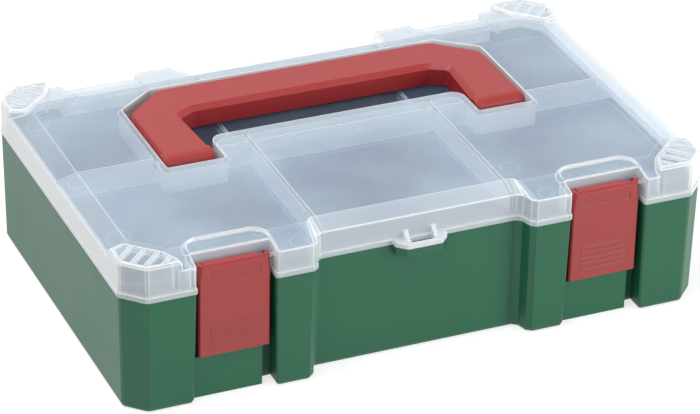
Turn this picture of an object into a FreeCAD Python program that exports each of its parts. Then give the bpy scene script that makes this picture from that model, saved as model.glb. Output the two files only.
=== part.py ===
import FreeCAD, Part
import math
import os
from FreeCAD import Vector

# Compartment case: a tub with six loose bins, a hinged clear lid, two snap latches and a folding handle.
# Millimetres, +X to the right along the front, -Y to the front, +Z up.
# The origin is on the ground, under the middle of the tub.

# Body, seen from above
body_width = 310.0
body_depth = 198.5
corner_cut = 10.5
corner_bevel = 0.9
corner_pillar_width = 35.6
recess_width = 41.0
recess_setback = 9.95
pillar_width = 21.0
pillar_edge_bevel = 0.9
panel_setback = 9.75
panel_flank = 2.9
panel_flank_bevel = 2.2

# Heights
rim_height = 61.8
lid_wall_height = 14.4
lid_bevel_height = 3.8
corner_block_rise = 1.3

# Tub
tub_wall = 2.4
tub_floor = 2.8
tub_draft = 0.9
tub_bottom_round = 2.2
tongue_height = 2.6
tongue_thickness = 1.0

# Pads in the four recesses of the tub
pad_setback = 5.25
pad_top_drop = 4.5
pad_bevel = 3.0
pad_latch_gap = 1.05

# Lid
lid_wall = 1.8
lid_top_wall = 1.8
lid_skirt_wall = 1.1
lid_band_proud = 0.5
seam_gap = 0.3
panel_edge_inset_x = 11.4
panel_edge_inset_y = 16.0
panel_middle_inset = 10.0
lid_rib = 1.5
lid_rib_bottom_drop = 14.6
divide_x_share = 0.3258
divide_y_share = 0.0453
ledge_depth = 1.2
ledge_reach = 11.3
ledge_corner = 4.6
ledge_bevel = 1.6

# Corner blocks on the lid
block_front_length = 28.4
block_front_flank = 4.3
block_front_shoulder_x = 24.5
block_front_shoulder_y = 12.9
block_side_length = 25.0
block_side_shoulder_x = 8.5
block_side_shoulder_y = 28.0
block_bevel = 1.0
block_edge_bevel = 1.2
block_rim = 2.2
block_ridge_pitch = 7.0
block_ridge_share = 0.35
block_groove_depth = 1.2
block_groove_count = 5
block_groove_shift = 2.1
block_web = 2.2
block_web_reach = 6.0

# Lock tab in the middle of the front
tab_reach = 8.0
tab_root_width = 28.0
tab_tip_width = 18.5
tab_thickness = 3.9
tab_radius = 2.4
tab_slot_width = 12.5
tab_slot_depth = 4.7
tab_slot_offset = 0.9
tab_gusset_height = 4.0
tab_gusset_thickness = 2.2
tab_gusset_reach = 4.6

# Handle and its pocket in the lid
pocket_half_width = 100.5
pocket_back = 73.0
pocket_back_cut_x = 21.0
pocket_back_cut_y = 16.0
pocket_front = -8.9
pocket_foot_width = 31.0
pocket_inner_back = 15.0
pocket_radius = 1.6
pocket_inner_radius = 7.0
pocket_depth = 11.8
pocket_wall = 1.8
pocket_floor_wall = 1.6
handle_side_gap = 1.5
handle_back_gap = 2.5
handle_front_gap = 6.8
handle_floor_gap = 0.5
handle_proud = 0.5
handle_grip_depth = 24.9
handle_arm_width = 24.4
handle_foot_width = 27.0
handle_outer_cut_x = 22.0
handle_outer_cut_y = 19.5
handle_inner_cut_x = 8.6
handle_inner_cut_y = 4.9
handle_corner_bevel = 1.2
handle_edge_bevel = 1.5
handle_inner_bevel = 2.5
handle_bevel_height = 2.5
handle_foot_bevel = 1.2
handle_wall = 2.4
handle_rib = 1.6
handle_grip_rib_count = 7
handle_arm_rib_count = 2
stub_radius = 2.4

# Latches
latch_side_gap = 2.0
latch_setback = 2.95
latch_plate = 2.0
latch_flange = 2.2
latch_back_gap = 1.2
latch_height = 50.3
latch_axis_drop = 2.8
latch_axis_gap = 3.3
latch_top_bevel = 1.3
latch_edge_bevel = 0.9
latch_slot_width = 0.8
latch_slot_depth = 1.0
latch_notch_width = 4.2
latch_side_taper = 2.3
latch_side_taper_height = 16.0
latch_side_taper_depth = 2.5
latch_pin_radius = 1.25
latch_top_drop = 1.8
latch_grip_inset = 6.0
latch_grip_height = 1.3
latch_grip_proud = 0.5
latch_grip_pitch = 3.2
latch_grip_count = 5
latch_grip_start = 4.5
latch_frame_inset = 5.0
latch_frame_height = 3.4
latch_frame_drop = 8.5
latch_frame_depth = 0.35
catch_height = 9.5
catch_rise = 4.2
catch_bead_radius = 0.9
catch_bead_inset = 8.5
catch_recess_inset = 3.25
catch_recess_height = 30.0
catch_recess_depth = 1.6
catch_ridge = 0.5

# Lid hinges
hinge_axis_out = 0.75
hinge_knuckle_radius = 3.6
hinge_pin_radius = 1.5
hinge_side_gap = 1.2
hinge_knuckle_gap = 0.4
hinge_knuckle_count = 3
hinge_arm_low = 3.4
hinge_arm_high = 12.0
hinge_arm_under = 13.0

# Bins
bin_wall = 1.2
bin_floor = 1.5
bin_gap = 0.4
bin_seat_gap = 0.2
bin_bevel = 3.4
bin_room_radius = 3.9
bin_rim_drop = 0.8
bin_rim_width = 0.9
bin_rim_height = 2.0

# Fits
run_clearance = 0.05
clear = 0.3
overrun = 1.0

# Levels and places worked out from the sizes above
half_x = body_width / 2
half_y = body_depth / 2
lid_bottom = rim_height + seam_gap
lid_wall_top = rim_height + lid_wall_height
lid_top = lid_wall_top + lid_bevel_height
block_top = lid_top + corner_block_rise
rib_bottom = lid_top - lid_rib_bottom_drop
tongue_top = rim_height + tongue_height
band_top = tongue_top + seam_gap
recess_out_x = half_x - corner_pillar_width
recess_in_x = recess_out_x - recess_width
recess_x = (recess_in_x + recess_out_x) / 2
pillar_in_x = recess_in_x - pillar_width
panel_y = half_y - panel_setback
recess_y = half_y - recess_setback
pad_y = half_y - pad_setback
latch_half = recess_width / 2 - latch_side_gap
pad_half = latch_half - latch_flange - pad_latch_gap
hinge_half = recess_width / 2 - hinge_side_gap
divide_x = half_x * divide_x_share
divide_y = half_y * divide_y_share
pocket_floor = lid_top - pocket_depth
handle_bottom = pocket_floor + handle_floor_gap
handle_top = lid_top + handle_proud
handle_axis_z = (handle_bottom + handle_top) / 2
foot_radius = (handle_top - handle_bottom) / 2
handle_axis_y = pocket_front + handle_front_gap + foot_radius
latch_front_y = -(half_y - latch_setback)
latch_top_z = lid_wall_top - latch_top_drop
latch_bottom_z = latch_top_z - latch_height
latch_axis_z = latch_top_z - latch_axis_drop
latch_axis_y = -(recess_y + latch_axis_gap)
latch_barrel_radius = latch_axis_drop
hinge_y = half_y + hinge_axis_out
hinge_z = rim_height + seam_gap / 2
bin_bottom = tub_floor + bin_seat_gap
bin_top = rib_bottom - bin_rim_drop

made = {}


def keep(name, shape):
    """Put a finished solid under its node name."""
    made[name] = shape.removeSplitter()


def mirrored_outline(quadrant):
    """Carry the outline of the quadrant x > 0, y > 0 round all four, counter-clockwise."""
    back = list(reversed(quadrant))
    outline = [(x, y, r) for x, y, r in back]
    outline += [(-x, y, r) for x, y, r in quadrant]
    outline += [(-x, -y, r) for x, y, r in back]
    outline += [(x, -y, r) for x, y, r in quadrant]
    return outline


def inset(outline, distance):
    """Move each side of a counter-clockwise outline inwards; distance is one value or one per side."""
    count = len(outline)
    steps = distance if isinstance(distance, list) else [distance] * count
    moved = []
    for i in range(count):
        x0, y0, _ = outline[i - 1]
        x1, y1, ease = outline[i]
        x2, y2, _ = outline[(i + 1) % count]
        ax, ay = x1 - x0, y1 - y0
        bx, by = x2 - x1, y2 - y1
        la, lb = math.hypot(ax, ay), math.hypot(bx, by)
        ax, ay, bx, by = ax / la, ay / la, bx / lb, by / lb
        da, db = steps[i - 1], steps[i]
        px, py = x1 - ay * da, y1 + ax * da
        qx, qy = x1 - by * db, y1 + bx * db
        along = ((qx - px) * by - (qy - py) * bx) / (ax * by - ay * bx)
        moved.append((px + ax * along, py + ay * along, ease))
    return moved


def rounded(outline, distance):
    """Move a round-cornered outline inwards, with each arc kept about its own centre."""
    moved = inset(outline, distance)
    eased = []
    for i in range(len(outline)):
        x0, y0, _ = outline[i - 1]
        x1, y1, radius = outline[i]
        x2, y2, _ = outline[(i + 1) % len(outline)]
        bulges = (x1 - x0) * (y2 - y1) > (y1 - y0) * (x2 - x1)
        radius = radius - distance if bulges else radius + distance
        eased.append((moved[i][0], moved[i][1], max(radius, 0)))
    return eased


def outline_wire(outline, z, arcs):
    """Close an outline of (x, y, ease) corners at height z, each eased by an arc or by a flat bevel."""
    count = len(outline)
    stops = []
    for i in range(count):
        corner = Vector(outline[i][0], outline[i][1], z)
        before = (Vector(outline[i - 1][0], outline[i - 1][1], z) - corner).normalize()
        after = Vector(outline[(i + 1) % count][0], outline[(i + 1) % count][1], z) - corner
        after = after.normalize()
        ease = outline[i][2]
        half = before.getAngle(after) / 2
        reach = ease / math.tan(half) if arcs else ease
        inner = (before + after).normalize()
        middle = corner + inner * (ease / math.sin(half) - ease)
        stops.append((corner + before * reach, middle, corner + after * reach, ease > 0))
    edges = []
    for i in range(count):
        start, middle, end, eased = stops[i]
        if eased and arcs:
            edges.append(Part.Arc(start, middle, end).toShape())
        elif eased:
            edges.append(Part.LineSegment(start, end).toShape())
        edges.append(Part.LineSegment(end, stops[(i + 1) % count][0]).toShape())
    return Part.Wire(edges)


def prism(outline, z0, z1):
    """Stand a bevelled outline up between two heights."""
    return Part.Face(outline_wire(outline, z0, False)).extrude(Vector(0, 0, z1 - z0))


def round_prism(outline, z0, z1):
    """Stand a round-cornered outline up between two heights."""
    return Part.Face(outline_wire(outline, z0, True)).extrude(Vector(0, 0, z1 - z0))


def taper(outline0, z0, outline1, z1):
    """Join two bevelled outlines with as many corners by straight walls."""
    wires = [outline_wire(outline0, z0, False), outline_wire(outline1, z1, False)]
    return Part.makeLoft(wires, True, True)


def block(x0, x1, y0, y1, z0, z1):
    """Make a box between two corners."""
    return Part.makeBox(x1 - x0, y1 - y0, z1 - z0, Vector(x0, y0, z0))


def flat_prism(points, direction):
    """Push a flat polygon of points along a direction."""
    return Part.Face(Part.makePolygon(points + points[:1])).extrude(direction)


def profile_x(points, x0, x1):
    """Push a (y, z) polygon from x0 to x1."""
    return flat_prism([Vector(x0, y, z) for y, z in points], Vector(x1 - x0, 0, 0))


def rod_x(radius, x0, x1, y, z):
    """Lay a round rod along X."""
    return Part.makeCylinder(radius, x1 - x0, Vector(x0, y, z), Vector(1, 0, 0))


def cone_x(radius0, radius1, x0, x1, y, z):
    """Lay a round taper along X."""
    return Part.makeCone(radius0, radius1, x1 - x0, Vector(x0, y, z), Vector(1, 0, 0))


def turned_back(shape):
    """Turn a front feature half round, to the same place at the back."""
    return shape.mirror(Vector(0, 0, 0), Vector(0, 1, 0))


def both_sides(shape):
    """Put a feature of the right side on the left as well."""
    return [shape, shape.mirror(Vector(0, 0, 0), Vector(1, 0, 0))]


# Plan outlines shared by tub and lid
plain_quadrant = [
    (pillar_in_x - panel_flank, panel_y, panel_flank_bevel),
    (pillar_in_x, half_y, panel_flank_bevel),
    (half_x - corner_cut, half_y, corner_bevel),
    (half_x, half_y - corner_cut, corner_bevel),
]
recess_corners = [
    (recess_in_x, half_y, pillar_edge_bevel),
    (recess_in_x, recess_y, 0),
    (recess_out_x, recess_y, 0),
    (recess_out_x, half_y, pillar_edge_bevel),
]
body_outline = mirrored_outline(plain_quadrant[:2] + recess_corners + plain_quadrant[2:])
plain_outline = mirrored_outline(plain_quadrant)

# Edge of the flat top panel, inside the bevel
panel_corner_x = half_x - panel_edge_inset_x
panel_front_y = half_y - panel_edge_inset_y
panel_corner_cut = corner_cut + (panel_edge_inset_y - panel_edge_inset_x)
panel_flank_run = panel_flank * (panel_front_y - panel_y + panel_middle_inset) / panel_setback
panel_quadrant = [
    (pillar_in_x - panel_flank, panel_y - panel_middle_inset, panel_flank_run),
    (pillar_in_x - panel_flank + panel_flank_run, panel_front_y, panel_flank_run),
    (panel_corner_x - panel_corner_cut, panel_front_y, corner_bevel),
    (panel_corner_x, panel_front_y - panel_corner_cut, corner_bevel),
]
panel_outline = mirrored_outline(panel_quadrant)


def tab_outline(grow):
    """Plan of the lock tab, a tapered tongue in front of the middle panel."""
    root = tab_root_width / 2 + grow
    tip = tab_tip_width / 2 + grow
    front = -(panel_y + tab_reach + grow)
    shoulder = front + (tab_root_width - tab_tip_width) / 2
    inside = -(panel_y - lid_skirt_wall)
    return [
        (-root, inside, 0),
        (-root, shoulder, tab_radius),
        (-tip, front, tab_radius),
        (tip, front, tab_radius),
        (root, shoulder, tab_radius),
        (root, inside, 0),
    ]


def tab_slot(z0, z1):
    """Slot for a padlock or a tie, through both tabs."""
    near = -(panel_y + lid_band_proud + tab_slot_offset)
    half = tab_slot_width / 2
    return block(-half, half, near - tab_slot_depth, near, z0, z1)


def hinge_knuckles(on_lid):
    """Places of the knuckles of one hinge along X, which the lid and the tub share in turn."""
    pitch = (2 * hinge_half + hinge_knuckle_gap) / hinge_knuckle_count
    first = recess_x - hinge_half
    picked = range(0 if on_lid else 1, hinge_knuckle_count, 2)
    return [(first + i * pitch, first + (i + 1) * pitch - hinge_knuckle_gap) for i in picked]


def make_tub():
    """Drafted tub with a tongue round the rim, four pads, the lock tab and the lower hinge knuckles."""
    foot = inset(body_outline, tub_draft)
    knee = tub_bottom_round * (1 - math.sqrt(1 / 2))
    shell = taper(foot, tub_bottom_round, body_outline, rim_height)
    shell = shell.fuse(taper(inset(foot, knee), knee, foot, tub_bottom_round))
    shell = shell.fuse(taper(inset(foot, tub_bottom_round), 0, inset(foot, knee), knee))
    tongue_out = tub_wall - tongue_thickness
    shell = shell.fuse(prism(inset(body_outline, tongue_out), rim_height, tongue_top))
    hollow = taper(inset(foot, tub_wall), tub_floor, inset(body_outline, tub_wall), rim_height)
    hollow = hollow.fuse(prism(inset(body_outline, tub_wall), rim_height, tongue_top + overrun))
    shell = shell.cut(hollow)

    pad_top = rim_height - pad_top_drop
    pad_root = recess_y - tub_wall / 2
    pad_sole = [(-pad_root, 0), (-pad_y + knee, 0), (-pad_y, knee)]
    pad_crown = [(-pad_y, pad_top - pad_bevel), (-pad_y + pad_bevel, pad_top), (-pad_root, pad_top)]
    pad = profile_x(pad_sole + pad_crown, recess_x - pad_half, recess_x + pad_half)
    catch_z = latch_bottom_z + catch_height
    catch_half = pad_half - catch_recess_inset
    catch_floor = -(pad_y - catch_recess_depth)
    low = catch_z - catch_rise
    hole = block(recess_x - catch_half, recess_x + catch_half, -half_y, catch_floor, low,
                 low + catch_recess_height)
    ridge_z = catch_z + catch_rise
    ridge = block(recess_x - catch_half, recess_x + catch_half, catch_floor - catch_ridge, catch_floor,
                  ridge_z, ridge_z + catch_rise)
    # Under the latch the pad's foot runs on to the recess's left side
    foot_top = latch_bottom_z - pad_latch_gap
    foot_points = pad_sole + [(-pad_y, foot_top), (-pad_root, foot_top)]
    pad_foot = profile_x(foot_points, recess_in_x - tub_wall, recess_x)
    front_pad = pad.cut(hole).fuse([ridge, pad_foot])
    front_pads = [front_pad, front_pad.translated(Vector(-2 * recess_x, 0, 0))]

    # Lower knuckles stand on brackets that grow out of the back pads
    arm_points = [
        (pad_root, hinge_z - hinge_arm_under),
        (pad_y, hinge_z - hinge_arm_under),
        (hinge_y + hinge_knuckle_radius, hinge_z),
        (hinge_y - hinge_knuckle_radius, hinge_z),
        (pad_root, pad_top - pad_bevel),
    ]
    back_pad = turned_back(pad)
    for x0, x1 in hinge_knuckles(False):
        back_pad = back_pad.fuse(profile_x(arm_points, x0, x1))
        back_pad = back_pad.fuse(rod_x(hinge_knuckle_radius, x0, x1, hinge_y, hinge_z))
    hinge_bore = hinge_pin_radius + run_clearance
    back_pad = back_pad.cut(rod_x(hinge_bore, recess_in_x, recess_out_x, hinge_y, hinge_z))

    tab = round_prism(tab_outline(0), rim_height - tab_thickness, rim_height)
    tab = tab.cut(prism(inset(body_outline, tub_wall / 2), 0, lid_top))
    shell = shell.fuse(front_pads + both_sides(back_pad) + [tab])
    keep("base_tub", shell.cut(tab_slot(0, lid_top)))


def pocket_outline():
    """U-shaped plan of the handle pocket."""
    inner = pocket_half_width - pocket_foot_width
    cut_x = pocket_half_width - pocket_back_cut_x
    right = [
        (inner, pocket_inner_back, pocket_inner_radius),
        (inner, pocket_front, pocket_radius),
        (pocket_half_width, pocket_front, pocket_radius),
        (pocket_half_width, pocket_back - pocket_back_cut_y, pocket_radius),
        (cut_x, pocket_back, pocket_radius),
    ]
    left = [(-x, y, r) for x, y, r in reversed(right)]
    return right + left


def ledge_outline():
    """Plan of the sunk ledge behind a latch, with cut back corners."""
    back = recess_y - ledge_reach
    front = half_y + overrun
    return [
        (recess_in_x, -front, 0),
        (recess_out_x, -front, 0),
        (recess_out_x, -(back + ledge_corner), ledge_bevel),
        (recess_out_x - ledge_corner, -back, ledge_bevel),
        (recess_in_x + ledge_corner, -back, ledge_bevel),
        (recess_in_x, -(back + ledge_corner), ledge_bevel),
    ]


def block_outline():
    """Plan of the raised block on the lid's front right corner, open to the outside of the wall."""
    inner_x = half_x - block_front_length
    return [
        (inner_x, -(half_y - block_front_flank), block_bevel),
        (inner_x, -half_y, 0),
        (half_x - corner_cut, -half_y, corner_bevel),
        (half_x, -(half_y - corner_cut), corner_bevel),
        (half_x, -(half_y - block_side_length), 0),
        (half_x - block_side_shoulder_x, -(half_y - block_side_shoulder_y), block_bevel),
        (half_x - block_front_shoulder_x, -(half_y - block_front_shoulder_y), block_bevel),
    ]


def block_grooves():
    """Parallel grooves across a corner block, square to the corner's cut, that leave ridges and a rim."""
    floor = block_top - block_groove_depth
    field = prism(inset(block_outline(), block_rim), floor, block_top + overrun)
    groove_half = block_ridge_pitch * (1 - block_ridge_share) / 2
    span = Vector(-1, 1, 0).normalize()
    across = Vector(-1, -1, 0).normalize()
    middle = Vector(half_x - corner_cut / 2, -(half_y - corner_cut / 2), floor)
    grooves = []
    for i in range(block_groove_count):
        offset = (i - (block_groove_count - 1) / 2) * block_ridge_pitch + block_groove_shift
        near = middle + across * (offset - groove_half)
        far = middle + across * (offset + groove_half)
        reach = span * (block_front_length + block_side_length)
        strip = flat_prism([near - reach, near + reach, far + reach, far - reach],
                           Vector(0, 0, block_groove_depth + overrun))
        grooves.append(strip.common(field))
    return grooves


def make_lid():
    """Clear lid: a bevelled shell with notches, ledges, corner blocks, ribs and the handle pocket."""
    notch = prism(body_outline, rim_height, block_top)
    form = prism(plain_outline, lid_bottom, lid_wall_top)
    form = form.fuse(taper(plain_outline, lid_wall_top, panel_outline, lid_top)).common(notch)
    inner_top = lid_top - lid_top_wall
    inner_wall_top = lid_wall_top - lid_top_wall + lid_wall / 2
    inner_plain = inset(plain_outline, lid_wall)
    hollow = prism(inner_plain, rim_height, inner_wall_top)
    hollow = hollow.fuse(taper(inner_plain, inner_wall_top, inset(panel_outline, lid_wall / 2), inner_top))
    hollow = hollow.common(prism(inset(body_outline, lid_wall), rim_height, block_top))
    skirt_hollow = prism(inset(body_outline, lid_skirt_wall), rim_height, band_top)

    ledge_floor = lid_top - ledge_depth
    ledge = prism(ledge_outline(), ledge_floor, block_top + overrun)
    ledge_room = prism(inset(ledge_outline(), -lid_wall), ledge_floor - lid_top_wall, block_top)
    edge_z = block_top - block_edge_bevel
    corner = prism(block_outline(), lid_wall_top - lid_wall_height / 2, edge_z)
    corner = corner.fuse(taper(block_outline(), edge_z, inset(block_outline(), block_edge_bevel), block_top))
    corner_room = prism(inset(block_outline(), lid_wall), band_top,
                        block_top - block_groove_depth - lid_skirt_wall)
    web_x = half_x - block_front_length + block_edge_bevel
    web = block(web_x, web_x + block_web, -(half_y - lid_wall / 2), -(half_y - block_web_reach), rib_bottom,
                edge_z)
    for feature in both_sides(ledge):
        form = form.cut([feature, turned_back(feature)])
    for feature in both_sides(ledge_room):
        hollow = hollow.cut([feature, turned_back(feature)])
    for feature in both_sides(corner):
        form = form.fuse([feature, turned_back(feature)])
    for feature in both_sides(corner_room):
        hollow = hollow.fuse([feature, turned_back(feature)])

    pocket = pocket_outline()
    pocket_room = round_prism(rounded(pocket, -pocket_wall), pocket_floor - pocket_floor_wall, lid_top)
    hollow = hollow.cut(pocket_room).fuse(skirt_hollow)
    band = prism(inset(body_outline, -lid_band_proud), lid_bottom, band_top)
    tab = round_prism(tab_outline(0), lid_bottom, band_top)
    shell = form.fuse([band, tab]).cut(hollow)

    half_rib = lid_rib / 2
    rib_x = half_x - lid_wall / 2
    rib_y = panel_y - lid_wall / 2
    ribs = [block(-rib_x, rib_x, divide_y - half_rib, divide_y + half_rib, rib_bottom, lid_top)]
    for x in (-divide_x, divide_x):
        ribs.append(block(x - half_rib, x + half_rib, -rib_y, rib_y, rib_bottom, lid_top))
    for feature in both_sides(web):
        ribs += [feature, turned_back(feature)]
    shell = shell.fuse([rib.common(form) for rib in ribs])
    shell = shell.cut(round_prism(pocket, pocket_floor, block_top))

    # Two upright gussets stiffen the tab beside its slot
    gusset_x = tab_slot_width / 2
    gusset_root = -(panel_y - lid_wall / 2)
    gusset_points = [
        (gusset_root, band_top - seam_gap),
        (-(panel_y + tab_gusset_reach), band_top - seam_gap),
        (-panel_y, band_top + tab_gusset_height),
        (gusset_root, band_top + tab_gusset_height),
    ]
    gusset = profile_x(gusset_points, gusset_x, gusset_x + tab_gusset_thickness)
    shell = shell.fuse(both_sides(gusset)).cut(tab_slot(0, lid_top))

    # Upper hinge knuckles on arms from the back recess walls
    arm_root = recess_y - lid_wall / 2
    arm_points = [
        (arm_root, band_top + clear),
        (hinge_y - hinge_knuckle_radius, hinge_z),
        (hinge_y + hinge_knuckle_radius, hinge_z),
        (hinge_y + hinge_knuckle_radius / 2, hinge_z + hinge_arm_low),
        (arm_root, hinge_z + hinge_arm_high),
    ]
    knuckles = []
    for x0, x1 in hinge_knuckles(True):
        knuckles.append(profile_x(arm_points, x0, x1))
        knuckles.append(rod_x(hinge_knuckle_radius, x0, x1, hinge_y, hinge_z))
    joined = knuckles[0].fuse(knuckles[1:])
    joined = joined.cut(rod_x(hinge_pin_radius + run_clearance, recess_in_x, recess_out_x, hinge_y, hinge_z))
    shell = shell.fuse(both_sides(joined))

    latch_bore = rod_x(latch_pin_radius + run_clearance, recess_in_x - lid_wall - clear,
                       recess_out_x + lid_wall + clear, latch_axis_y, latch_axis_z)
    stub_bore = rod_x(stub_radius + run_clearance, pocket_half_width - clear,
                      pocket_half_width + pocket_wall + clear, handle_axis_y, handle_axis_z)
    cuts = both_sides(latch_bore) + both_sides(stub_bore)
    for groove in block_grooves():
        for feature in both_sides(groove):
            cuts += [feature, turned_back(feature)]
    keep("lid", shell.cut(cuts))


def handle_outline(outer_step, inner_step):
    """U-shaped plan of the handle, open to the feet, with its outer and inner sides moved inwards."""
    outer = pocket_half_width - handle_side_gap
    back = pocket_back - handle_back_gap
    inner_back = back - handle_grip_depth
    arm_in = outer - handle_arm_width
    foot_in = outer - handle_foot_width
    right = [
        (foot_in, handle_axis_y, 0),
        (outer, handle_axis_y, 0),
        (outer, back - handle_outer_cut_y, handle_corner_bevel),
        (outer - handle_outer_cut_x, back, handle_corner_bevel),
    ]
    left = [(-x, y, r) for x, y, r in reversed(right)]
    inner = [
        (-arm_in, inner_back - handle_inner_cut_y, handle_corner_bevel),
        (-arm_in + handle_inner_cut_x, inner_back, handle_corner_bevel),
        (arm_in - handle_inner_cut_x, inner_back, handle_corner_bevel),
        (arm_in, inner_back - handle_inner_cut_y, handle_corner_bevel),
    ]
    steps = [0] + [outer_step] * (len(right) + 1) + [0] + [inner_step] * (len(inner) + 1)
    return inset(right + left + inner, steps)


def make_handle():
    """Folding handle: a bevelled U hollowed from below, with ribs, round feet and pivot stubs."""
    bevel_z = handle_top - handle_bevel_height
    body = prism(handle_outline(0, 0), handle_bottom, bevel_z)
    body = body.fuse(taper(handle_outline(0, 0), bevel_z,
                           handle_outline(handle_edge_bevel, handle_inner_bevel), handle_top))
    room = prism(handle_outline(handle_wall, handle_wall), handle_bottom - overrun, bevel_z)
    room = room.cut(block(-half_x, half_x, -half_y, handle_axis_y + foot_radius + handle_wall,
                          handle_bottom - overrun, handle_top))
    outer = pocket_half_width - handle_side_gap
    back = pocket_back - handle_back_gap
    inner_back = back - handle_grip_depth
    half_rib = handle_rib / 2
    grip_pitch = 2 * (outer - handle_outer_cut_x) / (handle_grip_rib_count - 1)
    for i in range(handle_grip_rib_count):
        x = (i - (handle_grip_rib_count - 1) / 2) * grip_pitch
        room = room.cut(block(x - half_rib, x + half_rib, inner_back, back, handle_bottom, bevel_z))
    arm_start = handle_axis_y + foot_radius
    arm_pitch = (inner_back - arm_start) / (handle_arm_rib_count + 1)
    for i in range(handle_arm_rib_count):
        y = arm_start + (i + 1) * arm_pitch
        room = room.cut(block(-outer, outer, y - half_rib, y + half_rib, handle_bottom, bevel_z))
    body = body.cut(room)
    foot_in = outer - handle_foot_width
    foot_end = foot_radius - handle_foot_bevel
    foot = rod_x(foot_radius, foot_in + handle_foot_bevel, outer - handle_foot_bevel,
                 handle_axis_y, handle_axis_z)
    foot = foot.fuse([
        cone_x(foot_end, foot_radius, foot_in, foot_in + handle_foot_bevel, handle_axis_y, handle_axis_z),
        cone_x(foot_radius, foot_end, outer - handle_foot_bevel, outer, handle_axis_y, handle_axis_z),
    ])
    stub = rod_x(stub_radius, outer - handle_wall, pocket_half_width + pocket_wall - clear,
                 handle_axis_y, handle_axis_z)
    keep("handle", body.fuse(both_sides(foot) + both_sides(stub)))


def make_latches():
    """Snap latches: a ribbed plate with side flanges, hung from a pin in the lid's recess."""
    half = latch_half
    plate_back = latch_front_y + latch_plate
    flange_back = -(recess_y + latch_back_gap)
    flange_front = latch_front_y + latch_edge_bevel
    plate_outline = [
        (-half, latch_front_y, latch_edge_bevel),
        (half, latch_front_y, latch_edge_bevel),
        (half, plate_back, 0),
        (-half, plate_back, 0),
    ]
    plate = prism(plate_outline, latch_bottom_z, latch_top_z)
    flange_points = [
        (flange_front, latch_bottom_z),
        (flange_back - latch_flange, latch_bottom_z),
        (flange_back, latch_bottom_z + latch_flange),
        (flange_back, latch_axis_z),
        (latch_axis_y, latch_axis_z + latch_barrel_radius),
        (flange_front, latch_top_z),
    ]
    flange = profile_x(flange_points, half - latch_flange, half)
    flange = flange.fuse(rod_x(latch_barrel_radius, half - latch_flange, half, latch_axis_y, latch_axis_z))
    # The barrel stops short of the right ear, which can so bend inwards when the latch is fitted
    barrel_left = latch_flange - half
    barrel_right = half - latch_flange - latch_notch_width
    barrel = rod_x(latch_barrel_radius, barrel_left, barrel_right, latch_axis_y, latch_axis_z)
    lip = block(barrel_left, barrel_right, latch_front_y, latch_axis_y,
                latch_axis_z - latch_barrel_radius / 2, latch_top_z)
    latch = plate.fuse(both_sides(flange) + [barrel, lip])

    # The front's upper edges are bevelled, the sides ever more towards the top
    bevel_points = [
        (latch_front_y - overrun, latch_top_z + overrun),
        (latch_front_y - overrun, latch_top_z - latch_top_bevel - overrun),
        (latch_front_y + latch_top_bevel + overrun, latch_top_z + overrun),
    ]
    latch = latch.cut(profile_x(bevel_points, -half, half))
    corner = Vector(half, latch_front_y, latch_top_z)
    inward = Vector(half - latch_side_taper, latch_front_y, latch_top_z)
    behind = Vector(half, latch_front_y + latch_side_taper_depth, latch_top_z)
    below = Vector(half, latch_front_y, latch_top_z - latch_side_taper_height)
    sides = [
        [corner, inward, behind],
        [corner, behind, below],
        [corner, below, inward],
        [inward, below, behind],
    ]
    faces = [Part.Face(Part.makePolygon(side + side[:1])) for side in sides]
    wedge = Part.makeSolid(Part.makeShell(faces))
    latch = latch.cut(both_sides(wedge))

    # A narrow slot parts the lip over the barrel from the left ear
    slot = block(barrel_left, barrel_left + latch_slot_width, latch_front_y + latch_top_bevel, flange_back,
                 latch_top_z - latch_slot_depth, latch_top_z + overrun)
    latch = latch.cut(slot)
    frame_half = half - latch_frame_inset
    frame_top = latch_top_z - latch_frame_drop + latch_frame_height
    latch = latch.cut(block(-frame_half, frame_half, latch_front_y - overrun,
                            latch_front_y + latch_frame_depth, frame_top - latch_frame_height, frame_top))
    grip_half = half - latch_grip_inset
    for i in range(latch_grip_count):
        z = latch_bottom_z + latch_grip_start + i * latch_grip_pitch
        ridge_points = [
            (latch_front_y + latch_grip_proud, z),
            (latch_front_y, z),
            (latch_front_y - latch_grip_proud, z + latch_grip_proud),
            (latch_front_y - latch_grip_proud, z + latch_grip_height - latch_grip_proud),
            (latch_front_y, z + latch_grip_height),
            (latch_front_y + latch_grip_proud, z + latch_grip_height),
        ]
        latch = latch.fuse(profile_x(ridge_points, -grip_half, grip_half))
    bead_half = half - catch_bead_inset
    bead_z = latch_bottom_z + catch_height
    latch = latch.fuse(rod_x(catch_bead_radius, -bead_half, bead_half, plate_back, bead_z))
    latch = latch.cut(rod_x(latch_pin_radius + run_clearance, -half, half, latch_axis_y, latch_axis_z))
    pin_half = recess_width / 2 + lid_wall - clear
    pin = rod_x(latch_pin_radius, -pin_half, pin_half, latch_axis_y, latch_axis_z)
    for side, x in (("left", -recess_x), ("right", recess_x)):
        keep("latch_" + side, latch.translated(Vector(x, 0, 0)))
        keep("latch_pin_" + side, pin.translated(Vector(x, 0, 0)))


def make_hinge_pins():
    """One steel pin through the knuckles of each lid hinge."""
    for side, x in (("left", -recess_x), ("right", recess_x)):
        keep("hinge_pin_" + side, rod_x(hinge_pin_radius, x - hinge_half, x + hinge_half, hinge_y, hinge_z))


def bin_plan(x0, x1, y0, y1, ease):
    """Plan of a bin, with all four corners eased alike."""
    return [(x0, y0, ease), (x1, y0, ease), (x1, y1, ease), (x0, y1, ease)]


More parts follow.
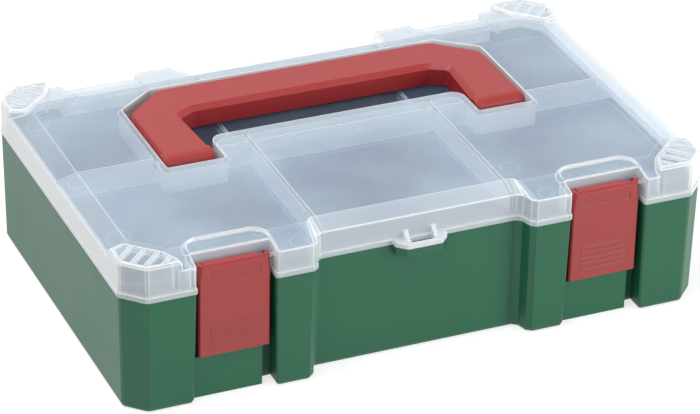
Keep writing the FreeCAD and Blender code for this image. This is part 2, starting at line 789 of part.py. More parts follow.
def make_bins():
    """Six loose bins in three columns and two rows, with a rolled rim under the lid's ribs."""
    end_x = half_x - tub_draft - tub_wall - bin_gap
    end_y = recess_y - tub_draft - tub_wall - bin_gap
    columns = {
        "left": (-end_x, -divide_x - bin_gap),
        "middle": (-divide_x + bin_gap, divide_x - bin_gap),
        "right": (divide_x + bin_gap, end_x),
    }
    rows = {"front": (-end_y, divide_y - bin_gap), "back": (divide_y + bin_gap, end_y)}
    for row, (y0, y1) in rows.items():
        for column, (x0, x1) in columns.items():
            rim = bin_plan(x0, x1, y0, y1, bin_bevel)
            cup = prism(inset(rim, bin_rim_width), bin_bottom, bin_top)
            cup = cup.fuse(prism(rim, bin_top - bin_rim_height, bin_top))
            step = bin_rim_width + bin_wall
            room = bin_plan(x0 + step, x1 - step, y0 + step, y1 - step, bin_room_radius)
            room = round_prism(room, bin_bottom + bin_floor, bin_top)
            keep("bin_" + row + "_" + column, cup.cut(room))


make_tub()
make_lid()
make_handle()
make_latches()
make_hinge_pins()
make_bins()

os.makedirs("parts", exist_ok=True)
for name, shape in made.items():
    shape.exportStep("parts/" + name + ".step")
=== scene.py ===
import math

import bpy
from bpy.props import FloatProperty, FloatVectorProperty, PointerProperty
from mathutils import Matrix, Vector

bl_info = {
    "name": "Compartment case finish",
    "version": (1, 0, 0),
    "blender": (4, 5, 0),
    "location": "3D View > Sidebar > Case",
    "description": "Moulded plastic finishes, studio and camera for a compartment case",
    "category": "Material",
}

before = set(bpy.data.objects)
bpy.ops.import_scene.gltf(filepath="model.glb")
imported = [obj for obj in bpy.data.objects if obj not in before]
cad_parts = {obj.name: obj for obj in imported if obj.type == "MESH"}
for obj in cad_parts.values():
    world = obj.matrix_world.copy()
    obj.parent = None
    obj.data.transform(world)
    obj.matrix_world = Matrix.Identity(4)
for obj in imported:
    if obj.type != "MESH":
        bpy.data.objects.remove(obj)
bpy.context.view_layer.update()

BINS = sorted(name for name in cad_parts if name.startswith("bin_"))
PINS = sorted(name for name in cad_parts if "_pin_" in name)
LATCHES = ("latch_left", "latch_right")

WHITE = (1.0, 1.0, 1.0, 1.0)

# Places of a Mix node's sockets, which share their names
MIX_SHARE = 0
MIX_VALUES = (2, 3)
MIX_VALUE = 0
MIX_COLOURS = (6, 7)
MIX_COLOUR = 2

# Detail of the fine and the broad noise in the grain, and samples of the rounded edges
FINE_DETAIL = 2.0
BROAD_DETAIL = 3.0
EDGE_SAMPLES = 6

# What the opaque plastics share: size of the clouds in metres, gain of the edge mask, level that the painted
# highlight on edges pales towards, spread of the roughness over the clouds, and strength of the grain's bump
CLOUD_SIZE = 0.035
EDGE_GAIN = 1.6
PAINTED_HIGHLIGHT_LEVEL = 0.8
GLOSS_SPREAD = 0.12
GRAIN_STRENGTH = 0.5

# What they have of their own: gloss, the grain in metres, and shares of clouding and of the painted highlight
# on edges
TUB_PLASTIC = {
    "roughness": 0.42, "specular": 0.5, "grain_size": 0.0005, "grain_depth": 0.00012,
    "cloud_share": 0.06, "painted_highlight_share": 0.10,
}
HANDLE_PLASTIC = {
    "roughness": 0.45, "specular": 0.78, "grain_size": 0.0012, "grain_depth": 0.0003,
    "cloud_share": 0.05, "painted_highlight_share": 0.0,
}
LATCH_PLASTIC = {
    "roughness": 0.40, "specular": 0.85, "grain_size": 0.0004, "grain_depth": 0.0001,
    "cloud_share": 0.04, "painted_highlight_share": 0.10,
}
BIN_PLASTIC = {
    "roughness": 0.55, "specular": 0.5, "grain_size": 0.0015, "grain_depth": 0.00005,
    "cloud_share": 0.06, "painted_highlight_share": 0.04,
}

# The lid's plastic: gloss, ripples and clouds in metres, and gain of the edge mask, whose white lines are
# partly a painted highlight
LID_ROUGHNESS = 0.2
LID_SPECULAR = 1.0
LID_GRAIN_SIZE = 0.012
LID_GRAIN_DEPTH = 0.0002
LID_GRAIN_STRENGTH = 0.15
LID_CLOUD_SIZE = 0.07
LID_EDGE_GAIN = 3.0

# How much the haze and the tint of the lid's top come and go in its clouds
LID_CLOUD_HAZE = 0.6
LID_CLOUD_COLOUR = 0.1

# Upright faces: where the height of the normal starts to count as upright, and over what range
UPRIGHT_START = 0.965
UPRIGHT_RANGE = 0.045

# Low angles of sight: where they start, over what range, and how much more the top and the walls hide there;
# the walls also whiten, partly from the longer path through the milky skin and partly as a painted reflection
GRAZING_START = 0.52
GRAZING_RANGE = 0.25
TOP_GRAZING_SHARE = 0.25
WALL_GRAZING_SHARE = 0.85

# Round moulding marks on the lid's top, as (x, y, radius) in metres, mirrored to the left half
LID_MARKS = (
    (0.1450, 0.0586, 0.0057),
    (0.1448, -0.0050, 0.0057),
    (0.1457, -0.0634, 0.0057),
    (0.0580, -0.0690, 0.0050),
    (0.0659, -0.0945, 0.0040),
    (0.0822, -0.0835, 0.0024),
    (0.0, -0.0028, 0.0052),
)
MARK_WIDTH = 0.00045
MARK_SHARE = 0.15
MARK_LOWEST = 0.0760

# Thick places of the lid in metres, and how white they are: the ridges over a height, the tab before the
# middle panel, and the edge over the hinges
RIDGE_LOWEST = 0.0808
RIDGE_SHARE = 0.4
TAB_HALF_WIDTH = 0.0146
TAB_ROOT = -0.0899
TAB_SHARE = 0.5
BACK_START = 0.0790
BACK_SHARE = 0.35

# The lid's band over the seam: its height in metres, and the share of the full width that its white edge
# lines, partly a painted highlight, have
BAND_TOP = 0.0668
BAND_EDGE_SHARE = 0.45

# Outline of the handle's pocket in metres, how white its walls are, and how much of its floor's haze is gone,
# which lets it show dark as a painted shade for the handle's shadow
POCKET_HALF_WIDTH = 0.1035
POCKET_FRONT = -0.0115
POCKET_BACK = 0.0755
POCKET_FOOT_IN = 0.0675
POCKET_GRIP_FRONT = 0.0125
POCKET_SHARE = 0.42
POCKET_FLOOR_TOP = 0.0720
POCKET_FLOOR_PAINTED_SHADE = 0.85

# Drawn steel: how the streaks are squeezed, how dark they get, and their roughness
STREAK_SCALE = (60.0, 2500.0, 2500.0)
STREAK_DARK = 0.75
STREAK_GLOSS_SPREAD = 0.25
STREAK_ROUGHNESS = 0.2

# The floor in metres: half its width, and how far it lies under the case. It is clear from below, and to what
# all but touches it
FLOOR_HALF = 4.0
FLOOR_DROP = 0.0002
FLOOR_NEAR = 0.0010
FLOOR_COLOUR = (0.40, 0.40, 0.40, 1.0)
FLOOR_ROUGHNESS = 0.9
FLOOR_GLOW = 0.70

# Part of the white room that gloss sees darker, over the front, and by how much
DARK_SIDE = (0.0, -0.7, 0.7)
DARK_START = 0.25
DARK_FULL = 0.65
DARK_SHARE = 0.75

# Softboxes in metres: the point that they face, their places and their sizes
SOFTBOX_AIM = (0.0, 0.0, 0.05)
KEY_PLACE = (-0.6, 0.0, 1.65)
KEY_SIZE = (1.8, 1.4)
FILL_PLACE = (1.35, -1.3, 0.5)
FILL_SIZE = (1.0, 1.0)

# The camera's sensor in millimetres, and the nearest distance that it sees in metres
SENSOR_WIDTH = 36.0
CLIP_START = 0.05


class CaseFinish(bpy.types.PropertyGroup):
    """Colours and surface values of the case's plastics and pins."""

    tub_colour: FloatVectorProperty(
        name="Tub", description="Green of the tub",
        subtype="COLOR", size=3, min=0, max=1, default=(0.008, 0.115, 0.054))
    lid_colour: FloatVectorProperty(
        name="Lid top", description="Milky blue tint of the lid's top",
        subtype="COLOR", size=3, min=0, max=1, default=(0.665, 0.81, 1.0))
    lid_wall_colour: FloatVectorProperty(
        name="Lid walls", description="Paler tint of the lid's upright walls",
        subtype="COLOR", size=3, min=0, max=1, default=(0.86, 0.94, 1.0))
    # The lid's white: thick edges, thick places and moulding marks, and also a painted highlight along edges
    # and a painted reflection at low angles of sight
    lid_edge_colour: FloatVectorProperty(
        name="Lid edges", description="White of the lid's thick edges",
        subtype="COLOR", size=3, min=0, max=1, default=(0.97, 0.97, 0.97))
    lid_haze: FloatProperty(
        name="Lid haze", description="How much one skin of the lid's top hides",
        subtype="FACTOR", min=0, max=1, default=0.29)
    lid_wall_haze: FloatProperty(
        name="Wall haze", description="How much one skin of the lid's walls hides",
        subtype="FACTOR", min=0, max=1, default=0.40)
    lid_edge_haze: FloatProperty(
        name="Edge haze", description="How much the lid hides along its edges",
        subtype="FACTOR", min=0, max=1, default=0.90)
    red_colour: FloatVectorProperty(
        name="Red", description="Red of the handle and the latches",
        subtype="COLOR", size=3, min=0, max=1, default=(0.335, 0.013, 0.013))
    pin_colour: FloatVectorProperty(
        name="Pins", description="Grey of the drawn steel pins",
        subtype="COLOR", size=3, min=0, max=1, default=(0.58, 0.58, 0.60))
    bin_colour: FloatVectorProperty(
        name="Bins", description="Slate of the loose bins",
        subtype="COLOR", size=3, min=0, max=1, default=(0.085, 0.13, 0.27))
    soft_edge: FloatProperty(
        name="Soft edge", description="Radius that the light sees on moulded edges",
        subtype="DISTANCE", unit="LENGTH", min=0, default=0.0005)
    lid_edge_width: FloatProperty(
        name="Edge width", description="Width of the white line along the lid's edges",
        subtype="DISTANCE", unit="LENGTH", min=0, default=0.0013)


class CaseStage(bpy.types.PropertyGroup):
    """Camera place and light levels of the studio."""

    azimuth: FloatProperty(
        name="Azimuth", description="Camera's turn about the case, from the front",
        subtype="ANGLE", unit="ROTATION", default=math.radians(-23.808))
    elevation: FloatProperty(
        name="Elevation", description="Camera's height over the horizon",
        subtype="ANGLE", unit="ROTATION", default=math.radians(29.488))
    roll: FloatProperty(
        name="Roll", description="Camera's lean to the side",
        subtype="ANGLE", unit="ROTATION", default=math.radians(1.327))
    distance: FloatProperty(
        name="Distance", description="From the camera to the point it looks at",
        subtype="DISTANCE", unit="LENGTH", default=1.76993)
    target: FloatVectorProperty(
        name="Target", description="Point that the camera looks at",
        subtype="TRANSLATION", unit="LENGTH", size=3, default=(0.002473, 0.0, 0.032155))
    lens: FloatProperty(
        name="Lens", description="Focal length on a 36 mm sensor",
        subtype="DISTANCE_CAMERA", min=1, default=177.4)
    key_power: FloatProperty(
        name="Key light", description="Power of the softbox over the case",
        subtype="POWER", unit="POWER", default=24.0)
    fill_power: FloatProperty(
        name="Fill light", description="Power of the softbox at the front right",
        subtype="POWER", unit="POWER", default=21.5)
    room_level: FloatProperty(
        name="Room level", description="Strength of the white room round the case", min=0, default=0.56)


def feed(tree, socket, value):
    """Link a socket to another one, or give it a plain value."""
    if isinstance(value, bpy.types.NodeSocket):
        tree.links.new(value, socket)
    else:
        socket.default_value = value


def maths(tree, operation, *values, clamp=False):
    """Add a Math node; its values are sockets or plain numbers."""
    node = tree.nodes.new("ShaderNodeMath")
    node.operation = operation
    node.use_clamp = clamp
    for socket, value in zip(node.inputs, values):
        feed(tree, socket, value)
    return node.outputs[0]


def vector_maths(tree, operation, a, b):
    """Add a Vector Math node; a and b are sockets or plain vectors."""
    node = tree.nodes.new("ShaderNodeVectorMath")
    node.operation = operation
    feed(tree, node.inputs[0], a)
    feed(tree, node.inputs[1], b)
    return node.outputs["Value" if operation in ("DOT_PRODUCT", "DISTANCE") else "Vector"]


def axes(tree, vector):
    """Split a vector into its x, y and z."""
    node = tree.nodes.new("ShaderNodeSeparateXYZ")
    tree.links.new(vector, node.inputs[0])
    return node.outputs["X"], node.outputs["Y"], node.outputs["Z"]


def mix_colours(tree, share, a, b):
    """Blend two colours, sockets or plain values, by a share."""
    node = tree.nodes.new("ShaderNodeMix")
    node.data_type = "RGBA"
    feed(tree, node.inputs[MIX_SHARE], share)
    for index, colour in zip(MIX_COLOURS, (a, b)):
        plain = not isinstance(colour, bpy.types.NodeSocket)
        feed(tree, node.inputs[index], (*colour, 1.0) if plain else colour)
    return node.outputs[MIX_COLOUR]


def mix_values(tree, share, a, b):
    """Blend two values, sockets or plain numbers, by a share."""
    node = tree.nodes.new("ShaderNodeMix")
    feed(tree, node.inputs[MIX_SHARE], share)
    for index, value in zip(MIX_VALUES, (a, b)):
        feed(tree, node.inputs[index], value)
    return node.outputs[MIX_VALUE]


def between(tree, value, low, high):
    """One where a value lies between two bounds, else zero."""
    over = maths(tree, "GREATER_THAN", value, low)
    return maths(tree, "MULTIPLY", over, maths(tree, "LESS_THAN", value, high))


def make_group(name, inputs, outputs):
    """Start a shader node group with named sockets, each given as (name, type)."""
    tree = bpy.data.node_groups.new(name, "ShaderNodeTree")
    for label, kind in inputs:
        tree.interface.new_socket(name=label, in_out="INPUT", socket_type=kind)
    for label, kind in outputs:
        tree.interface.new_socket(name=label, in_out="OUTPUT", socket_type=kind)
    return tree, tree.nodes.new("NodeGroupInput"), tree.nodes.new("NodeGroupOutput")


def use_group(tree, name, **values):
    """Place a shared group in a material and set or link its inputs."""
    node = tree.nodes.new("ShaderNodeGroup")
    node.node_tree = bpy.data.node_groups[name]
    for label, value in values.items():
        feed(tree, node.inputs[label.replace("_", " ").title()], value)
    return node


def grain_group():
    """Moulded grain: fine noise for the bump's height, and broad noise that clouds colour, gloss and haze."""
    tree, entry, leave = make_group(
        "moulded_grain",
        [("Vector", "NodeSocketVector"), ("Grain Size", "NodeSocketFloat"),
         ("Cloud Size", "NodeSocketFloat")],
        [("Height", "NodeSocketFloat"), ("Cloud", "NodeSocketFloat")])
    layers = (("Grain Size", FINE_DETAIL, "Height"), ("Cloud Size", BROAD_DETAIL, "Cloud"))
    for size, detail, result in layers:
        noise = tree.nodes.new("ShaderNodeTexNoise")
        noise.inputs["Detail"].default_value = detail
        tree.links.new(entry.outputs["Vector"], noise.inputs["Vector"])
        tree.links.new(maths(tree, "DIVIDE", 1.0, entry.outputs[size]), noise.inputs["Scale"])
        tree.links.new(noise.outputs[0], leave.inputs[result])


def edge_group():
    """Edges: the rounded normal of a bevel, and a mask, the root of one less its cosine to the face's own."""
    tree, entry, leave = make_group(
        "moulded_edges",
        [("Radius", "NodeSocketFloat"), ("Gain", "NodeSocketFloat")],
        [("Mask", "NodeSocketFloat"), ("Normal", "NodeSocketVector")])
    bevel = tree.nodes.new("ShaderNodeBevel")
    bevel.samples = EDGE_SAMPLES
    tree.links.new(entry.outputs["Radius"], bevel.inputs["Radius"])
    face = tree.nodes.new("ShaderNodeNewGeometry")
    lean = vector_maths(tree, "DOT_PRODUCT", bevel.outputs[0], face.outputs["True Normal"])
    away = maths(tree, "SUBTRACT", 1.0, maths(tree, "ABSOLUTE", lean), clamp=True)
    away = maths(tree, "SQRT", away)
    tree.links.new(maths(tree, "MULTIPLY", away, entry.outputs["Gain"], clamp=True), leave.inputs["Mask"])
    tree.links.new(bevel.outputs[0], leave.inputs["Normal"])


def mark_group():
    """Round moulding mark: one on a circle about a centre, seen from above, and zero a width away from it."""
    tree, entry, leave = make_group(
        "moulding_mark",
        [("Vector", "NodeSocketVector"), ("Centre", "NodeSocketVector"), ("Radius", "NodeSocketFloat"),
         ("Width", "NodeSocketFloat")],
        [("Mask", "NodeSocketFloat")])
    x, y, _ = axes(tree, entry.outputs["Vector"])
    mirrored = tree.nodes.new("ShaderNodeCombineXYZ")
    tree.links.new(maths(tree, "ABSOLUTE", x), mirrored.inputs["X"])
    tree.links.new(y, mirrored.inputs["Y"])
    reach = vector_maths(tree, "DISTANCE", mirrored.outputs[0], entry.outputs["Centre"])
    off = maths(tree, "ABSOLUTE", maths(tree, "SUBTRACT", reach, entry.outputs["Radius"]))
    share = maths(tree, "DIVIDE", off, entry.outputs["Width"])
    tree.links.new(maths(tree, "SUBTRACT", 1.0, share, clamp=True), leave.inputs["Mask"])


def start_material(name):
    """New material with its Principled shader and the piece's own coordinates."""
    material = bpy.data.materials.new(name)
    material.use_nodes = True
    tree = material.node_tree
    place = tree.nodes.new("ShaderNodeTexCoord").outputs["Object"]
    return material, tree, tree.nodes["Principled BSDF"], place


def bump_grain(tree, shader, grain, edges, depth, strength):
    """Lay the grain's height over the rounded edges."""
    bump = tree.nodes.new("ShaderNodeBump")
    bump.inputs["Distance"].default_value = depth
    bump.inputs["Strength"].default_value = strength
    tree.links.new(grain.outputs["Height"], bump.inputs["Height"])
    tree.links.new(edges.outputs["Normal"], bump.inputs["Normal"])
    tree.links.new(bump.outputs[0], shader.inputs["Normal"])


def clouded(tree, cloud, colour, share):
    """Colour that goes darker and lighter by a share in the clouds."""
    darker = [value * (1 - share) for value in colour]
    lighter = [min(1.0, value * (1 + share)) for value in colour]
    return mix_colours(tree, cloud, darker, lighter)


def moulded_plastic(name, colour, soft_edge, roughness, specular, grain_size, grain_depth, cloud_share,
                    painted_highlight_share):
    """Opaque moulded plastic: clouded colour and gloss, edges paled by a painted highlight, fine grain and
    soft edges.
    """
    material, tree, shader, place = start_material(name)
    grain = use_group(tree, "moulded_grain", vector=place, grain_size=grain_size, cloud_size=CLOUD_SIZE)
    edges = use_group(tree, "moulded_edges", radius=soft_edge, gain=EDGE_GAIN)
    cloud = grain.outputs["Cloud"]
    # Painted highlight: every edge pales towards a light level, for the light that rounded edges catch
    painted_edge = [value + (PAINTED_HIGHLIGHT_LEVEL - value) * painted_highlight_share for value in colour]
    body = clouded(tree, cloud, colour, cloud_share)
    tree.links.new(mix_colours(tree, edges.outputs["Mask"], body, painted_edge), shader.inputs["Base Color"])
    gloss = maths(tree, "MULTIPLY_ADD", cloud, GLOSS_SPREAD, roughness - GLOSS_SPREAD / 2)
    tree.links.new(gloss, shader.inputs["Roughness"])
    shader.inputs["Specular IOR Level"].default_value = specular
    bump_grain(tree, shader, grain, edges, grain_depth, GRAIN_STRENGTH)
    return material


def upright_share(tree):
    """One on upright faces and zero on level ones, by the height of the face's own normal."""
    _, _, height = axes(tree, tree.nodes.new("ShaderNodeTexCoord").outputs["Normal"])
    short = maths(tree, "SUBTRACT", UPRIGHT_START, maths(tree, "ABSOLUTE", height))
    return maths(tree, "DIVIDE", short, UPRIGHT_RANGE, clamp=True)


def grazing_share(tree):
    """Zero where a skin is seen from in front, one where it is seen at a low angle."""
    angle = tree.nodes.new("ShaderNodeLayerWeight")
    over = maths(tree, "SUBTRACT", angle.outputs["Facing"], GRAZING_START)
    return maths(tree, "DIVIDE", over, GRAZING_RANGE, clamp=True)


def moulding_marks(tree, place):
    """Faint rings that the mould's ejectors leave on the top skin."""
    marks = 0.0
    for x, y, radius in LID_MARKS:
        mark = use_group(tree, "moulding_mark", vector=place, centre=(x, y, 0.0), radius=radius,
                         width=MARK_WIDTH)
        marks = maths(tree, "MAXIMUM", mark.outputs["Mask"], marks)
    _, _, z = axes(tree, place)
    on_top = maths(tree, "GREATER_THAN", z, MARK_LOWEST)
    return maths(tree, "MULTIPLY", maths(tree, "MULTIPLY", marks, on_top), MARK_SHARE)


def thick_places(tree, place):
    """Share of white where the lid is thick: the corner blocks' ridges, the lock tab and the back edge."""
    x, y, z = axes(tree, place)
    raised = maths(tree, "MULTIPLY", maths(tree, "GREATER_THAN", z, RIDGE_LOWEST), RIDGE_SHARE)
    beside = maths(tree, "LESS_THAN", maths(tree, "ABSOLUTE", x), TAB_HALF_WIDTH)
    before = maths(tree, "LESS_THAN", y, TAB_ROOT)
    on_tab = maths(tree, "MULTIPLY", maths(tree, "MULTIPLY", beside, before), TAB_SHARE)
    at_back = maths(tree, "MULTIPLY", maths(tree, "GREATER_THAN", y, BACK_START), BACK_SHARE)
    return maths(tree, "MAXIMUM", maths(tree, "MAXIMUM", raised, on_tab), at_back)


def pocket_parts(tree, place, upright):
    """Masks of the handle's pocket: upright faces inside its U-shaped outline, and its level floor."""
    x, y, z = axes(tree, place)
    off = maths(tree, "ABSOLUTE", x)
    grip = between(tree, y, POCKET_GRIP_FRONT, POCKET_BACK)
    feet = between(tree, y, POCKET_FRONT, POCKET_BACK)
    feet = maths(tree, "MULTIPLY", feet, maths(tree, "GREATER_THAN", off, POCKET_FOOT_IN))
    within = maths(tree, "LESS_THAN", off, POCKET_HALF_WIDTH)
    inside = maths(tree, "MULTIPLY", maths(tree, "MAXIMUM", grip, feet), within)
    low = maths(tree, "MULTIPLY", inside, maths(tree, "LESS_THAN", z, POCKET_FLOOR_TOP))
    floor = maths(tree, "MULTIPLY", low, maths(tree, "SUBTRACT", 1.0, upright))
    return maths(tree, "MULTIPLY", inside, upright), floor


def edge_width(tree, place, width):
    """Width of the white edge lines: thinner on the band over the seam, full above it."""
    _, _, z = axes(tree, place)
    above = maths(tree, "GREATER_THAN", z, BAND_TOP)
    return mix_values(tree, above, width * BAND_EDGE_SHARE, width)


def milky_plastic(name, look):
    """Milky clear plastic: blue haze on the top, a paler one on the walls, white edges that are partly a
    painted highlight, white marks, and a painted reflection at low angles.
    """
    material, tree, shader, place = start_material(name)
    grain = use_group(tree, "moulded_grain", vector=place, grain_size=LID_GRAIN_SIZE,
                      cloud_size=LID_CLOUD_SIZE)
    width = edge_width(tree, place, look.lid_edge_width)
    edges = use_group(tree, "moulded_edges", radius=width, gain=LID_EDGE_GAIN)
    cloud = grain.outputs["Cloud"]
    upright = upright_share(tree)
    walls, floor = pocket_parts(tree, place, upright)
    # White along the edges: where the plastic is thick, and a painted highlight on every crease
    white = maths(tree, "MAXIMUM", edges.outputs["Mask"], moulding_marks(tree, place))
    white = maths(tree, "MAXIMUM", white, thick_places(tree, place))
    white = maths(tree, "MAXIMUM", white, maths(tree, "MULTIPLY", walls, POCKET_SHARE))
    reach = mix_values(tree, upright, TOP_GRAZING_SHARE, WALL_GRAZING_SHARE)
    reach = maths(tree, "SUBTRACT", reach, walls, clamp=True)
    grazing = maths(tree, "MULTIPLY", grazing_share(tree), reach)

    skin = clouded(tree, cloud, look.lid_colour, LID_CLOUD_COLOUR)
    skin = mix_colours(tree, upright, skin, look.lid_wall_colour)
    # Upright skins whiten at low angles of sight: partly the longer path through the milky skin, partly a
    # painted reflection of the white room
    skin = mix_colours(tree, maths(tree, "MULTIPLY", grazing, upright), skin, look.lid_edge_colour)
    tree.links.new(mix_colours(tree, white, skin, look.lid_edge_colour), shader.inputs["Base Color"])

    thin = look.lid_haze * (1 - LID_CLOUD_HAZE)
    thick = look.lid_haze * (1 + LID_CLOUD_HAZE)
    haze = mix_values(tree, cloud, thin, thick)
    haze = mix_values(tree, upright, haze, look.lid_wall_haze)
    haze = mix_values(tree, grazing, haze, look.lid_edge_haze)
    # Painted shade: the pocket's floor loses most of its haze so that it shows dark, standing in for the
    # handle's shadow
    clear = maths(tree, "MULTIPLY", floor, POCKET_FLOOR_PAINTED_SHADE)
    haze = maths(tree, "MULTIPLY", haze, maths(tree, "SUBTRACT", 1.0, clear))
    tree.links.new(mix_values(tree, white, haze, look.lid_edge_haze), shader.inputs["Alpha"])

    shader.inputs["Roughness"].default_value = LID_ROUGHNESS
    shader.inputs["Specular IOR Level"].default_value = LID_SPECULAR
    bump_grain(tree, shader, grain, edges, LID_GRAIN_DEPTH, LID_GRAIN_STRENGTH)
    return material


def drawn_steel(name, colour):
    """Drawn steel wire: streaks along the pin in the gloss and the colour."""
    material, tree, shader, place = start_material(name)
    streaks = tree.nodes.new("ShaderNodeTexNoise")
    streaks.inputs["Scale"].default_value = 1.0
    tree.links.new(vector_maths(tree, "MULTIPLY", place, STREAK_SCALE), streaks.inputs["Vector"])
    dark = [value * STREAK_DARK for value in colour]
    tree.links.new(mix_colours(tree, streaks.outputs[0], dark, colour), shader.inputs["Base Color"])
    gloss = maths(tree, "MULTIPLY_ADD", streaks.outputs[0], STREAK_GLOSS_SPREAD, STREAK_ROUGHNESS)
    tree.links.new(gloss, shader.inputs["Roughness"])
    shader.inputs["Metallic"].default_value = 1.0
    return material


def dress(names, material):
    """Give CAD nodes a material."""
    for name in names:
        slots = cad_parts[name].data.materials
        slots.clear()
        slots.append(material)


class CASE_OT_finish_tub(bpy.types.Operator):
    """Give the tub its green moulded plastic"""

    bl_idname = "case.finish_tub"
    bl_label = "Finish tub"

    def execute(self, context):
        look = context.scene.case_finish
        dress(["base_tub"], moulded_plastic("tub_green", look.tub_colour, look.soft_edge, **TUB_PLASTIC))
        return {"FINISHED"}


class CASE_OT_finish_lid(bpy.types.Operator):
    """Give the lid its milky clear plastic"""

    bl_idname = "case.finish_lid"
    bl_label = "Finish lid"

    def execute(self, context):
        dress(["lid"], milky_plastic("lid_clear", context.scene.case_finish))
        return {"FINISHED"}


class CASE_OT_finish_handle(bpy.types.Operator):
    """Give the folding handle its red moulded plastic"""

    bl_idname = "case.finish_handle"
    bl_label = "Finish handle"

    def execute(self, context):
        look = context.scene.case_finish
        dress(["handle"], moulded_plastic("handle_red", look.red_colour, look.soft_edge, **HANDLE_PLASTIC))
        return {"FINISHED"}


class CASE_OT_finish_latches(bpy.types.Operator):
    """Give the latches their red moulded plastic"""

    bl_idname = "case.finish_latches"
    bl_label = "Finish latches"

    def execute(self, context):
        look = context.scene.case_finish
        dress(LATCHES, moulded_plastic("latch_red", look.red_colour, look.soft_edge, **LATCH_PLASTIC))
        return {"FINISHED"}


class CASE_OT_finish_pins(bpy.types.Operator):
    """Give the hinge pins and latch pins their drawn steel"""

    bl_idname = "case.finish_pins"
    bl_label = "Finish pins"

    def execute(self, context):
        dress(PINS, drawn_steel("pin_steel", context.scene.case_finish.pin_colour))
        return {"FINISHED"}


class CASE_OT_finish_bins(bpy.types.Operator):
    """Give the loose bins their slate moulded plastic"""

    bl_idname = "case.finish_bins"
    bl_label = "Finish bins"

    def execute(self, context):
        look = context.scene.case_finish
        dress(BINS, moulded_plastic("bin_slate", look.bin_colour, look.soft_edge, **BIN_PLASTIC))
        return {"FINISHED"}


def white_room(scene, look):
    """World that is white to the camera, dimmer as a light, and darker to gloss over the front."""
    world = bpy.data.worlds.new("white_room")
    world.use_nodes = True
    scene.world = world
    tree = world.node_tree
    path = tree.nodes.new("ShaderNodeLightPath")
    seen = maths(tree, "MAXIMUM", path.outputs["Is Camera Ray"], path.outputs["Is Transmission Ray"])
    way = tree.nodes.new("ShaderNodeTexCoord").outputs["Generated"]
    lean = maths(tree, "SUBTRACT", vector_maths(tree, "DOT_PRODUCT", way, DARK_SIDE), DARK_START)
    dark = maths(tree, "DIVIDE", lean, DARK_FULL - DARK_START, clamp=True)
    bright = maths(tree, "SUBTRACT", 1.0, maths(tree, "MULTIPLY", dark, DARK_SHARE))
    level = mix_values(tree, seen, look.room_level, 1.0)
    level = mix_values(tree, path.outputs["Is Glossy Ray"], level, bright)
    sky = tree.nodes["Background"]
    sky.inputs["Color"].default_value = WHITE
    tree.links.new(level, sky.inputs["Strength"])


def pale_floor(scene):
    """Floor that looks white to the camera and to gloss, apart from the case's shadow."""
    sheet = bpy.data.meshes.new("floor")
    corners = [(x * FLOOR_HALF, y * FLOOR_HALF, -FLOOR_DROP) for x, y in ((-1, -1), (1, -1), (1, 1), (-1, 1))]
    sheet.from_pydata(corners, [], [(0, 1, 2, 3)])
    floor = bpy.data.objects.new("floor", sheet)
    scene.collection.objects.link(floor)
    paper, tree, shader, _ = start_material("floor_paper")
    shader.inputs["Base Color"].default_value = FLOOR_COLOUR
    shader.inputs["Roughness"].default_value = FLOOR_ROUGHNESS
    shader.inputs["Specular IOR Level"].default_value = 0.0
    path = tree.nodes.new("ShaderNodeLightPath")
    seen = maths(tree, "MAXIMUM", path.outputs["Is Camera Ray"], path.outputs["Is Transmission Ray"])
    seen = maths(tree, "MAXIMUM", seen, path.outputs["Is Glossy Ray"])
    shader.inputs["Emission Color"].default_value = WHITE
    tree.links.new(maths(tree, "MULTIPLY", seen, FLOOR_GLOW), shader.inputs["Emission Strength"])
    below = tree.nodes.new("ShaderNodeNewGeometry").outputs["Backfacing"]
    touching = maths(tree, "LESS_THAN", path.outputs["Ray Length"], FLOOR_NEAR)
    gone = maths(tree, "MAXIMUM", below, touching)
    tree.links.new(maths(tree, "SUBTRACT", 1.0, gone), shader.inputs["Alpha"])
    sheet.materials.append(paper)


def softbox(scene, name, place, size, power):
    """Rectangular lamp at a place, turned to the case."""
    lamp = bpy.data.lights.new(name, "AREA")
    lamp.shape = "RECTANGLE"
    lamp.size, lamp.size_y = size
    lamp.energy = power
    holder = bpy.data.objects.new(name, lamp)
    holder.location = place
    holder.rotation_euler = (Vector(SOFTBOX_AIM) - Vector(place)).to_track_quat("-Z", "Y").to_euler()
    scene.collection.objects.link(holder)


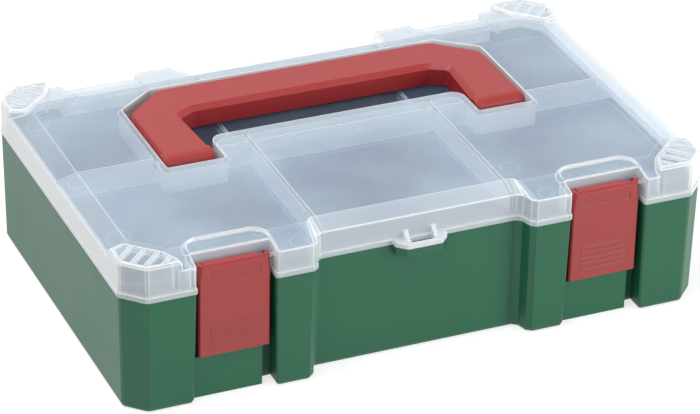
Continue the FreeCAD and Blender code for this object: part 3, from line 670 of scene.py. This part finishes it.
def aim_camera(scene, look):
    """Camera at its turn, height and distance from the target, with its lean to the side."""
    turn, lift, lean = look.azimuth, look.elevation, look.roll
    back = Vector((math.sin(turn) * math.cos(lift), -math.cos(turn) * math.cos(lift), math.sin(lift)))
    right = Vector((math.cos(turn), math.sin(turn), 0.0))
    up = back.cross(right)
    side = right * math.cos(lean) + up * math.sin(lean)
    top = up * math.cos(lean) - right * math.sin(lean)
    lens = bpy.data.cameras.new("camera")
    lens.sensor_width = SENSOR_WIDTH
    lens.sensor_fit = "HORIZONTAL"
    lens.lens = look.lens
    lens.clip_start = CLIP_START
    camera = bpy.data.objects.new("camera", lens)
    turned = Matrix((side, top, back)).transposed().to_4x4()
    camera.matrix_world = Matrix.Translation(Vector(look.target) + back * look.distance) @ turned
    scene.collection.objects.link(camera)
    scene.camera = camera


class CASE_OT_set_stage(bpy.types.Operator):
    """Set the white room, the pale floor, the softboxes and the camera"""

    bl_idname = "case.set_stage"
    bl_label = "Set stage"

    def execute(self, context):
        scene = context.scene
        look = scene.case_stage
        scene.view_settings.view_transform = "Standard"
        white_room(scene, look)
        pale_floor(scene)
        softbox(scene, "key_softbox", KEY_PLACE, KEY_SIZE, look.key_power)
        softbox(scene, "front_softbox", FILL_PLACE, FILL_SIZE, look.fill_power)
        aim_camera(scene, look)
        return {"FINISHED"}


class CASE_PT_panel(bpy.types.Panel):
    """Sidebar panel with the steps of the case's finish"""

    bl_idname = "CASE_PT_panel"
    bl_label = "Compartment case"
    bl_space_type = "VIEW_3D"
    bl_region_type = "UI"
    bl_category = "Case"

    def draw(self, context):
        for step in STEPS:
            self.layout.operator(step.bl_idname)
        for group in (context.scene.case_finish, context.scene.case_stage):
            for label in group.__annotations__:
                self.layout.prop(group, label)


STEPS = (
    CASE_OT_finish_tub,
    CASE_OT_finish_lid,
    CASE_OT_finish_handle,
    CASE_OT_finish_latches,
    CASE_OT_finish_pins,
    CASE_OT_finish_bins,
    CASE_OT_set_stage,
)
CLASSES = (CaseFinish, CaseStage, *STEPS, CASE_PT_panel)


def register():
    for item in CLASSES:
        bpy.utils.register_class(item)
    bpy.types.Scene.case_finish = PointerProperty(type=CaseFinish)
    bpy.types.Scene.case_stage = PointerProperty(type=CaseStage)


def unregister():
    del bpy.types.Scene.case_stage
    del bpy.types.Scene.case_finish
    for item in reversed(CLASSES):
        bpy.utils.unregister_class(item)


def main():
    """Register, make the shared node groups and run the steps in order."""
    register()
    grain_group()
    edge_group()
    mark_group()
    bpy.ops.case.finish_tub()
    bpy.ops.case.finish_lid()
    bpy.ops.case.finish_handle()
    bpy.ops.case.finish_latches()
    bpy.ops.case.finish_pins()
    bpy.ops.case.finish_bins()
    bpy.ops.case.set_stage()


if __name__ == "__main__":
    main()
